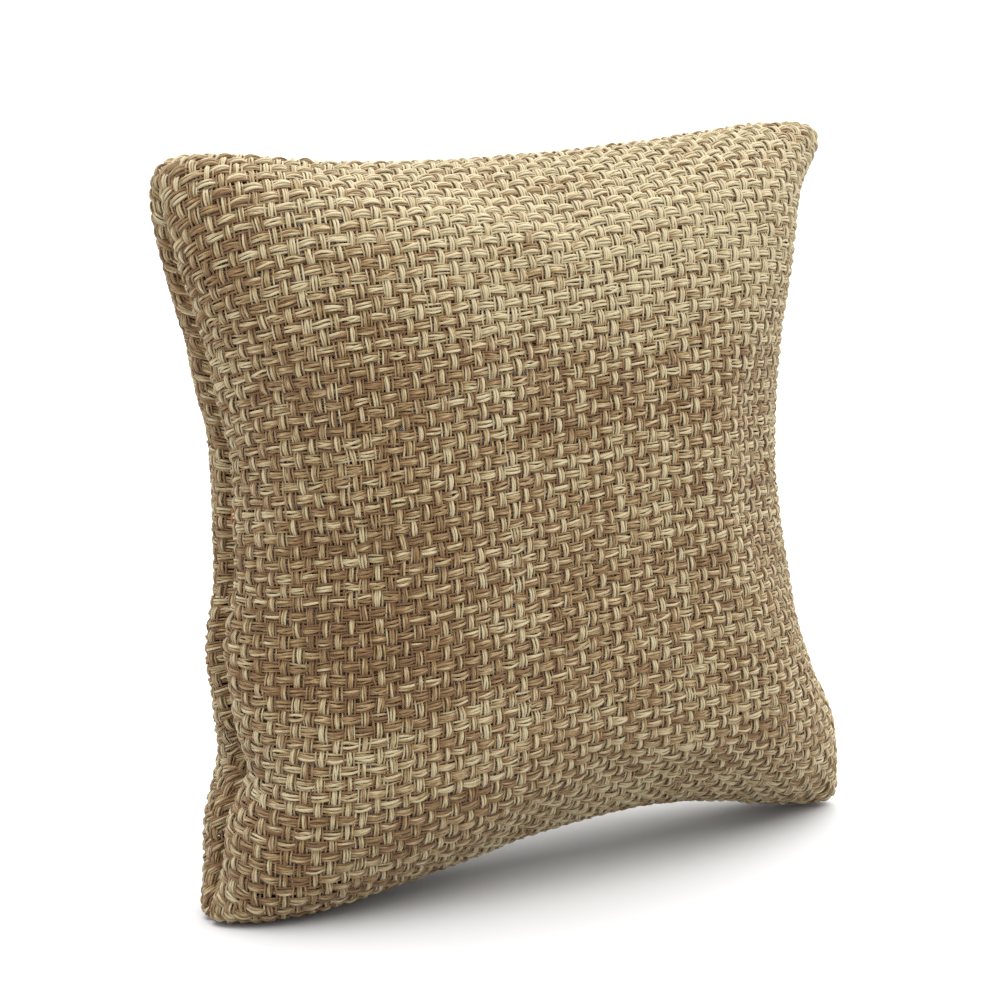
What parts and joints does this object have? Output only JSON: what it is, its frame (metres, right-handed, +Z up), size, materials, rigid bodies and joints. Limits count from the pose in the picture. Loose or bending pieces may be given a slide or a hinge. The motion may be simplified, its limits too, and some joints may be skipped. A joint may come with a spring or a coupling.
{
  "type": "ring bearer pillow",
  "caption": "Small square stuffed pillow with a coarse plain-weave cover of front and back panels, drawn-in sides and puffy corners, standing upright on its lower corners.",
  "frame": {"origin": "on the floor under the middle of the pillow, which stands on its two lower corners", "axes": "+Z up, +X along the seam's lower side to the pillow's right seen from the front, and the front panel faces -Y"},
  "size_m": [0.0938, 0.038, 0.0916],
  "materials": {
    "front_cloth": "coarse plain weave in cream and tan yarns",
    "back_cloth": "coarse plain weave in cream and tan yarns",
    "filling": "loose white polyester fibre",
    "machine_thread": "matt sewing thread",
    "hand_thread": "matt sewing thread"
  },
  "bodies": {
    "root": {"front_panel": "front_cloth", "back_panel": "back_cloth", "fibre_filling": "filling", "needle_thread": "machine_thread", "bobbin_thread": "machine_thread", "closing_thread": "hand_thread"}
  },
  "joints": []
}
